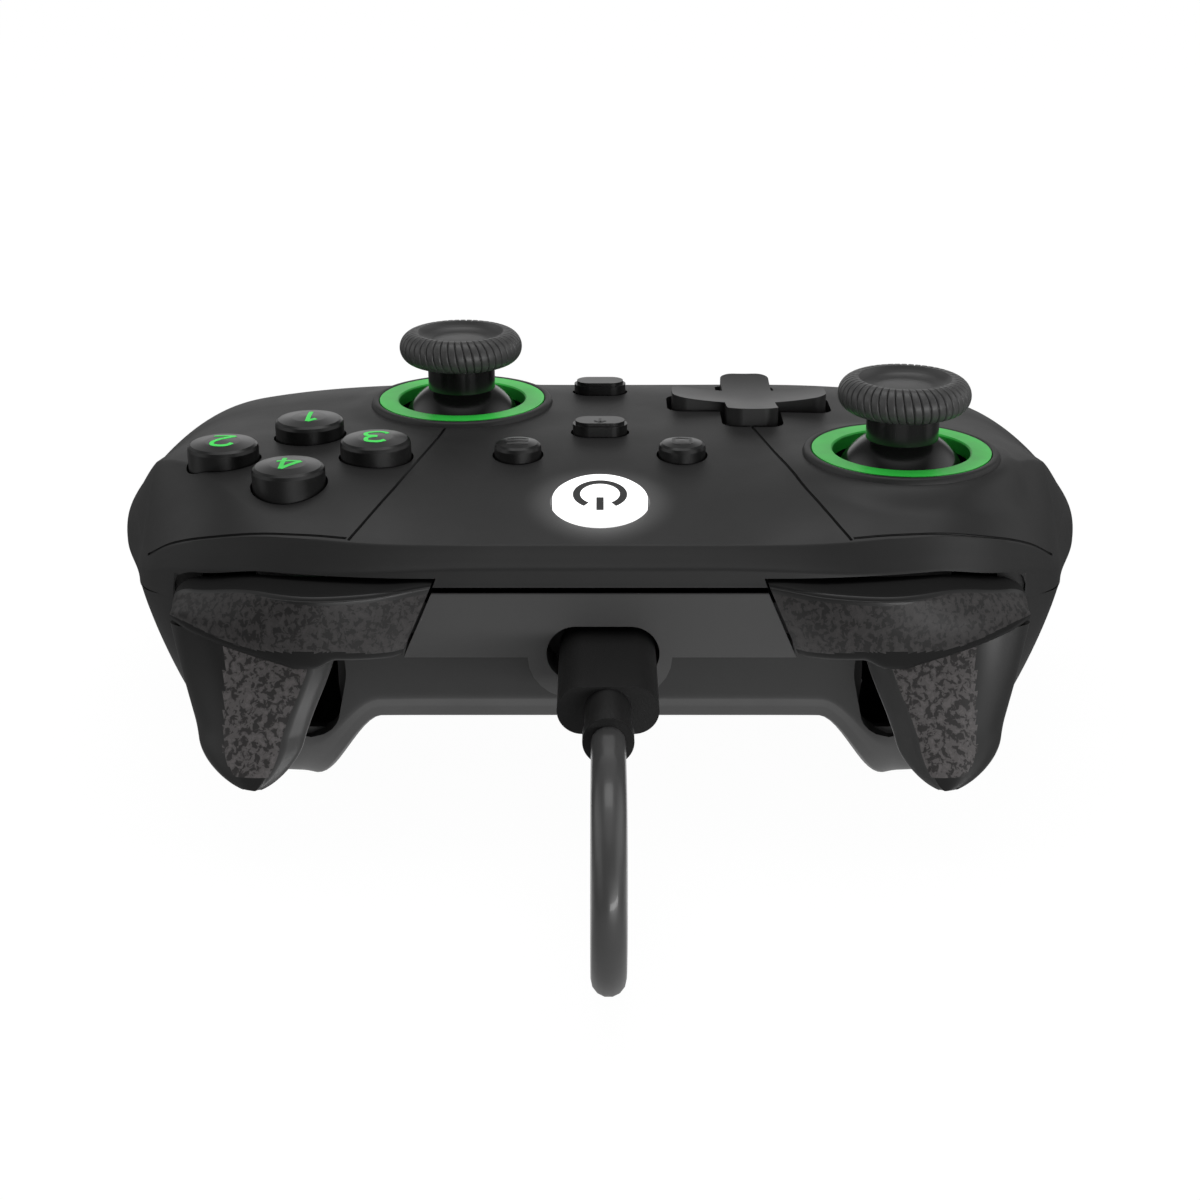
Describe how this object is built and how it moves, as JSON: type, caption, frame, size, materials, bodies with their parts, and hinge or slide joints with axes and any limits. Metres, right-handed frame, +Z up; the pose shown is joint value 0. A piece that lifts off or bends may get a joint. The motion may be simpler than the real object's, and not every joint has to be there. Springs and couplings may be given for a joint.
{
  "type": "gamepad controller",
  "caption": "Wired gamepad with offset tilting sticks, direction pad, round face buttons, bumpers, sprung triggers and a plug-in cable, built as a case of separate moving pieces.",
  "frame": {"origin": "middle of the box of the controller without its cable, on the table under the grips", "axes": "+X to the player's left hand, -Y to the trigger side, +Z up out of the face"},
  "size_m": [0.15, 0.2102, 0.0571],
  "materials": {
    "case": "fine-grained matte black",
    "panel": "satin black",
    "soft_black": "moulded matte black",
    "gloss_black": "polished black",
    "shoulder": "printed grey patches on matte black",
    "ring": "tinted green",
    "lens": "lit white",
    "cap": "ribbed",
    "rubber_grey": "moulded",
    "board": "solder mask",
    "steel": "plain",
    "cable": "smooth sheath"
  },
  "bodies": {
    "case": {"top_shell": "case", "bottom_shell": "case", "front_panel": "panel", "case_screws": "steel", "cable_socket": "steel", "bumper_pins": "steel", "trigger_pins": "steel", "left_trigger_spring": "steel", "right_trigger_spring": "steel", "main_board": "board", "button_board": "board", "headset_socket": "gloss_black", "cable_tie": "gloss_black", "push_switches": "rubber_grey", "face_button_domes": "rubber_grey", "direction_pad_post": "rubber_grey", "left_stick_ring": "ring", "right_stick_ring": "ring", "left_stick_module": "soft_black", "right_stick_module": "soft_black", "cable_plug": "soft_black", "strain_relief": "soft_black", "far_plug": "soft_black", "cable_lead": "cable", "cable_coil": "cable", "cable_tail": "cable"},
    "left_yoke": {"left_stick_yoke": "rubber_grey"},
    "left_shaft": {"left_stick_shaft": "steel"},
    "left_stick": {"left_stick_post": "gloss_black", "left_stick_cap": "cap"},
    "right_yoke": {"right_stick_yoke": "rubber_grey"},
    "right_shaft": {"right_stick_shaft": "steel"},
    "right_stick": {"right_stick_post": "gloss_black", "right_stick_cap": "cap"},
    "pad_ball": {"direction_pad_ball": "steel"},
    "pad": {"direction_pad": "soft_black"},
    "face_button_1": {"face_button_1": "gloss_black"},
    "face_button_2": {"face_button_2": "gloss_black"},
    "face_button_3": {"face_button_3": "gloss_black"},
    "face_button_4": {"face_button_4": "gloss_black"},
    "home_button": {"home_button": "lens"},
    "menu_button": {"menu_button": "gloss_black"},
    "view_button": {"view_button": "gloss_black"},
    "share_button": {"share_button": "gloss_black"},
    "mode_button": {"mode_button": "gloss_black"},
    "left_bumper": {"left_bumper": "shoulder"},
    "right_bumper": {"right_bumper": "shoulder"},
    "left_trigger": {"left_trigger": "shoulder"},
    "right_trigger": {"right_trigger": "shoulder"}
  },
  "joints": [
    {"name": "left_stick_fore_aft", "type": "hinge", "parent": "case", "child": "left_yoke", "pos_m": [0.0426, -0.017, 0.0396], "axis": [1, 0, 0], "range_deg": [-18, 18], "stiffness_Nm_per_rad": 0.03},
    {"name": "left_stick_sideways", "type": "hinge", "parent": "left_yoke", "child": "left_shaft", "pos_m": [0.0426, -0.017, 0.0396], "axis": [0, 1, 0], "range_deg": [-18, 18], "stiffness_Nm_per_rad": 0.03},
    {"name": "left_stick_click", "type": "slide", "parent": "left_shaft", "child": "left_stick", "axis": [0, 0, -1], "range_m": [0, 0.0005], "stiffness_N_per_m": 4000},
    {"name": "right_stick_fore_aft", "type": "hinge", "parent": "case", "child": "right_yoke", "pos_m": [-0.0212, 0.0097, 0.0396], "axis": [1, 0, 0], "range_deg": [-18, 18], "stiffness_Nm_per_rad": 0.03},
    {"name": "right_stick_sideways", "type": "hinge", "parent": "right_yoke", "child": "right_shaft", "pos_m": [-0.0212, 0.0097, 0.0396], "axis": [0, 1, 0], "range_deg": [-18, 18], "stiffness_Nm_per_rad": 0.03},
    {"name": "right_stick_click", "type": "slide", "parent": "right_shaft", "child": "right_stick", "axis": [0, 0, -1], "range_m": [0, 0.0005], "stiffness_N_per_m": 4000},
    {"name": "direction_pad_fore_aft", "type": "hinge", "parent": "case", "child": "pad_ball", "pos_m": [0.0228, 0.0097, 0.035], "axis": [1, 0, 0], "range_deg": [-3.5, 3.5], "stiffness_Nm_per_rad": 0.2},
    {"name": "direction_pad_sideways", "type": "hinge", "parent": "pad_ball", "child": "pad", "pos_m": [0.0228, 0.0097, 0.035], "axis": [0, 1, 0], "range_deg": [-3.5, 3.5], "stiffness_Nm_per_rad": 0.2},
    {"name": "face_button_1_press", "type": "slide", "parent": "case", "child": "face_button_1", "axis": [0, 0, -1], "range_m": [0, 0.0014], "stiffness_N_per_m": 600},
    {"name": "face_button_2_press", "type": "slide", "parent": "case", "child": "face_button_2", "axis": [0, 0, -1], "range_m": [0, 0.0014], "stiffness_N_per_m": 600},
    {"name": "face_button_3_press", "type": "slide", "parent": "case", "child": "face_button_3", "axis": [0, 0, -1], "range_m": [0, 0.0014], "stiffness_N_per_m": 600},
    {"name": "face_button_4_press", "type": "slide", "parent": "case", "child": "face_button_4", "axis": [0, 0, -1], "range_m": [0, 0.0014], "stiffness_N_per_m": 600},
    {"name": "home_press", "type": "slide", "parent": "case", "child": "home_button", "axis": [0, 0.2079, -0.9781], "range_m": [0, 0.0006], "stiffness_N_per_m": 1500},
    {"name": "menu_press", "type": "slide", "parent": "case", "child": "menu_button", "axis": [0, 0, -1], "range_m": [0, 0.0006], "stiffness_N_per_m": 1500},
    {"name": "view_press", "type": "slide", "parent": "case", "child": "view_button", "axis": [0, 0, -1], "range_m": [0, 0.0006], "stiffness_N_per_m": 1500},
    {"name": "share_press", "type": "slide", "parent": "case", "child": "share_button", "axis": [0, 0, -1], "range_m": [0, 0.0006], "stiffness_N_per_m": 1500},
    {"name": "mode_press", "type": "slide", "parent": "case", "child": "mode_button", "axis": [0, 0, -1], "range_m": [0, 0.0006], "stiffness_N_per_m": 1500},
    {"name": "left_bumper_press", "type": "hinge", "parent": "case", "child": "left_bumper", "pos_m": [0.0185, -0.0406, 0.03], "axis": [0, 0, 1], "range_deg": [0, 2.3], "stiffness_Nm_per_rad": 1.5},
    {"name": "right_bumper_press", "type": "hinge", "parent": "case", "child": "right_bumper", "pos_m": [-0.0185, -0.0406, 0.03], "axis": [0, 0, -1], "range_deg": [0, 2.3], "stiffness_Nm_per_rad": 1.5},
    {"name": "left_trigger_pull", "type": "hinge", "parent": "case", "child": "left_trigger", "pos_m": [0.045, -0.031, 0.028], "axis": [1, 0, 0], "range_deg": [0, 18], "stiffness_Nm_per_rad": 0.12, "deforming": ["left_trigger_spring"]},
    {"name": "right_trigger_pull", "type": "hinge", "parent": "case", "child": "right_trigger", "pos_m": [-0.045, -0.031, 0.028], "axis": [1, 0, 0], "range_deg": [0, 18], "stiffness_Nm_per_rad": 0.12, "deforming": ["right_trigger_spring"]}
  ]
}
